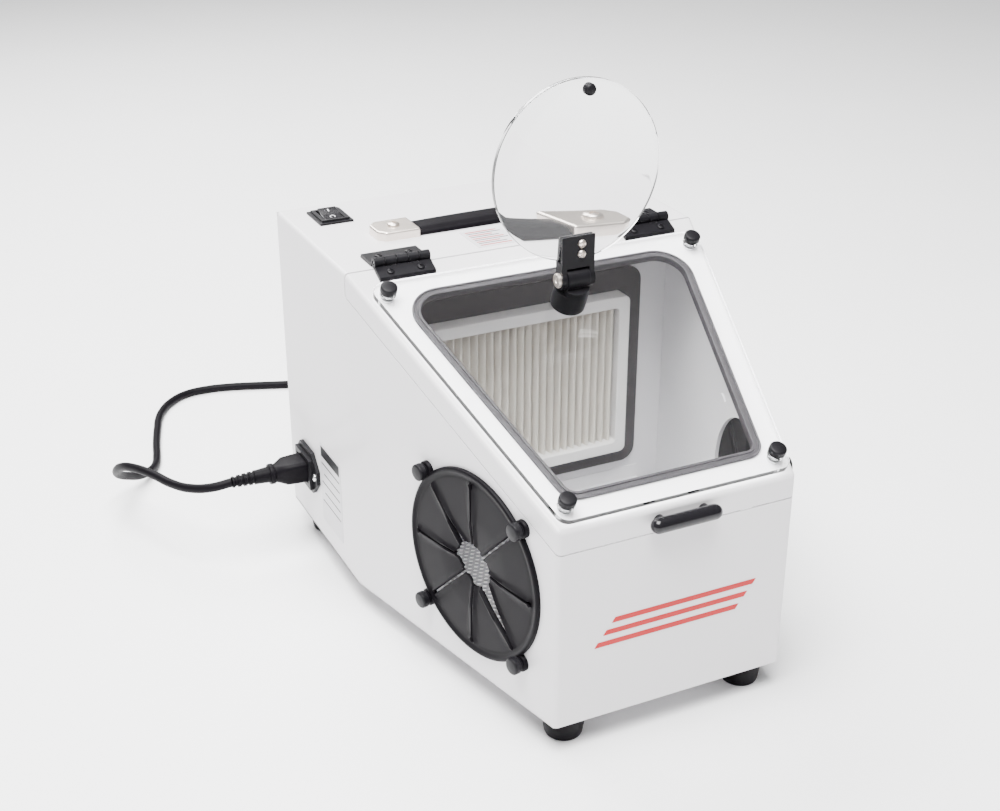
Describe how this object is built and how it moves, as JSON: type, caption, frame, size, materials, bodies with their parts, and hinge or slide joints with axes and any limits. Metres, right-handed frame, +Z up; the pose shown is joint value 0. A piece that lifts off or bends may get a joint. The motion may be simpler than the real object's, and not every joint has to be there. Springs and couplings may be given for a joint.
{
  "type": "sandblast cabinet",
  "caption": "Bench-top abrasive blast cabinet with a hinged window lid, petal arm ports, a magnifier on the window and a filtered dust blower",
  "frame": {"origin": "on the ground below the middle of the cabinet", "axes": "+X to the right seen from the front, +Y to the back, +Z up; the front panel faces -Y"},
  "size_m": [0.4005, 0.6375, 0.3938],
  "materials": {
    "white_paint": "fine powder coat",
    "screen_steel": "punched plate",
    "black_plastic": "moulded, satin",
    "black_gloss": "polished",
    "black_rubber": "smooth rubber",
    "grey_rubber": "extruded gasket",
    "grey_foam": "closed-cell foam",
    "filter_card": "moulded frame",
    "filter_paper": "pleated paper",
    "clear_acrylic": "cast acrylic",
    "nickel": "nickel plate",
    "zinc_steel": "zinc plated",
    "motor_steel": "plain",
    "impeller_plastic": "moulded",
    "label_film": "satin film",
    "red_film": "vinyl film"
  },
  "bodies": {
    "cabinet": {"front_panel": "white_paint", "side_panel_left": "white_paint", "side_panel_right": "white_paint", "floor_pan": "white_paint", "top_panel": "white_paint", "back_panel": "white_paint", "bulkhead": "white_paint", "grit_screen": "screen_steel", "screen_clip": "white_paint", "filter_gasket": "grey_foam", "filter_frame": "filter_card", "filter_media": "filter_paper", "port_rings": "white_paint", "port_diaphragm_left": "black_rubber", "port_diaphragm_right": "black_rubber", "hinge_upper_leaves": "black_plastic", "hinge_pins": "zinc_steel", "hinge_screws_upper": "black_plastic", "carry_strap": "black_rubber", "handle_end_caps": "nickel", "handle_screws": "nickel", "switch_bezel": "black_plastic", "power_inlet": "black_plastic", "case_screws": "zinc_steel", "feet": "black_rubber", "blower_housing": "zinc_steel", "blower_motor": "motor_steel", "labels": "label_film", "front_stripe": "red_film", "power_connector": "black_rubber", "cord_run": "black_rubber", "cord_coil": "black_rubber", "mains_plug": "black_rubber"},
    "lid": {"lid_frame": "white_paint", "window_gasket": "grey_rubber", "window_pane": "clear_acrylic", "window_studs": "zinc_steel", "hinge_lower_leaves": "black_plastic", "hinge_screws_lower": "black_plastic", "lid_pull": "black_gloss", "lid_pull_screws": "zinc_steel"},
    "magnifier_base": {"magnifier_base": "black_plastic"},
    "magnifier_arm": {"magnifier_clamp": "black_plastic", "magnifier_screws": "nickel", "magnifier_lens": "clear_acrylic", "lens_grip": "black_plastic"},
    "switch_rocker": {"switch_rocker": "black_gloss"},
    "blower_impeller": {"blower_impeller": "impeller_plastic"},
    "window_knob_front_left": {"window_knob_front_left": "black_plastic"},
    "window_knob_front_right": {"window_knob_front_right": "black_plastic"},
    "window_knob_rear_left": {"window_knob_rear_left": "black_plastic"},
    "window_knob_rear_right": {"window_knob_rear_right": "black_plastic"},
    "port_knob_left_upper_front": {"port_knob_left_upper_front": "black_plastic"},
    "port_knob_left_upper_rear": {"port_knob_left_upper_rear": "black_plastic"},
    "port_knob_left_lower_front": {"port_knob_left_lower_front": "black_plastic"},
    "port_knob_left_lower_rear": {"port_knob_left_lower_rear": "black_plastic"},
    "port_knob_right_upper_front": {"port_knob_right_upper_front": "black_plastic"},
    "port_knob_right_upper_rear": {"port_knob_right_upper_rear": "black_plastic"},
    "port_knob_right_lower_front": {"port_knob_right_lower_front": "black_plastic"},
    "port_knob_right_lower_rear": {"port_knob_right_lower_rear": "black_plastic"}
  },
  "joints": [
    {"name": "lid_hinge", "type": "hinge", "parent": "cabinet", "child": "lid", "pos_m": [0, 0.042, 0.265], "axis": [-1, 0, 0], "range_deg": [0, 100]},
    {"name": "magnifier_swivel", "type": "hinge", "parent": "lid", "child": "magnifier_base", "pos_m": [0, -0.01831, 0.23351], "axis": [0, -0.4148, 0.9099], "range_deg": [-90, 90]},
    {"name": "magnifier_tilt", "type": "hinge", "parent": "magnifier_base", "child": "magnifier_arm", "pos_m": [0, -0.03075, 0.26081], "axis": [1, 0, 0], "range_deg": [-15, 100]},
    {"name": "power_switch", "type": "hinge", "parent": "cabinet", "child": "switch_rocker", "pos_m": [-0.104, 0.154, 0.259], "axis": [-1, 0, 0], "range_deg": [0, 22]},
    {"name": "blower_spin", "type": "hinge", "parent": "cabinet", "child": "blower_impeller", "pos_m": [0.02, 0.092, 0.136], "axis": [0, 1, 0], "continuous": true},
    {"name": "window_knob_front_left_turn", "type": "hinge", "parent": "lid", "child": "window_knob_front_left", "pos_m": [-0.075, -0.16358, 0.17609], "axis": [0, -0.4148, 0.9099], "continuous": true},
    {"name": "window_knob_front_right_turn", "type": "hinge", "parent": "lid", "child": "window_knob_front_right", "pos_m": [0.075, -0.16358, 0.17609], "axis": [0, -0.4148, 0.9099], "continuous": true},
    {"name": "window_knob_rear_left_turn", "type": "hinge", "parent": "lid", "child": "window_knob_rear_left", "pos_m": [-0.116, 0.01067, 0.25551], "axis": [0, -0.4148, 0.9099], "continuous": true},
    {"name": "window_knob_rear_right_turn", "type": "hinge", "parent": "lid", "child": "window_knob_rear_right", "pos_m": [0.116, 0.01067, 0.25551], "axis": [0, -0.4148, 0.9099], "continuous": true},
    {"name": "port_knob_left_upper_front_turn", "type": "hinge", "parent": "cabinet", "child": "port_knob_left_upper_front", "pos_m": [-0.09614, -0.14274, 0.152], "axis": [-0.974, -0.2265, 0], "continuous": true},
    {"name": "port_knob_left_upper_rear_turn", "type": "hinge", "parent": "cabinet", "child": "port_knob_left_upper_rear", "pos_m": [-0.11834, -0.04729, 0.152], "axis": [-0.974, -0.2265, 0], "continuous": true},
    {"name": "port_knob_left_lower_front_turn", "type": "hinge", "parent": "cabinet", "child": "port_knob_left_lower_front", "pos_m": [-0.09614, -0.14274, 0.054], "axis": [-0.974, -0.2265, 0], "continuous": true},
    {"name": "port_knob_left_lower_rear_turn", "type": "hinge", "parent": "cabinet", "child": "port_knob_left_lower_rear", "pos_m": [-0.11834, -0.04729, 0.054], "axis": [-0.974, -0.2265, 0], "continuous": true},
    {"name": "port_knob_right_upper_front_turn", "type": "hinge", "parent": "cabinet", "child": "port_knob_right_upper_front", "pos_m": [0.09614, -0.14274, 0.152], "axis": [0.974, -0.2265, 0], "continuous": true},
    {"name": "port_knob_right_upper_rear_turn", "type": "hinge", "parent": "cabinet", "child": "port_knob_right_upper_rear", "pos_m": [0.11834, -0.04729, 0.152], "axis": [0.974, -0.2265, 0], "continuous": true},
    {"name": "port_knob_right_lower_front_turn", "type": "hinge", "parent": "cabinet", "child": "port_knob_right_lower_front", "pos_m": [0.09614, -0.14274, 0.054], "axis": [0.974, -0.2265, 0], "continuous": true},
    {"name": "port_knob_right_lower_rear_turn", "type": "hinge", "parent": "cabinet", "child": "port_knob_right_lower_rear", "pos_m": [0.11834, -0.04729, 0.054], "axis": [0.974, -0.2265, 0], "continuous": true}
  ]
}
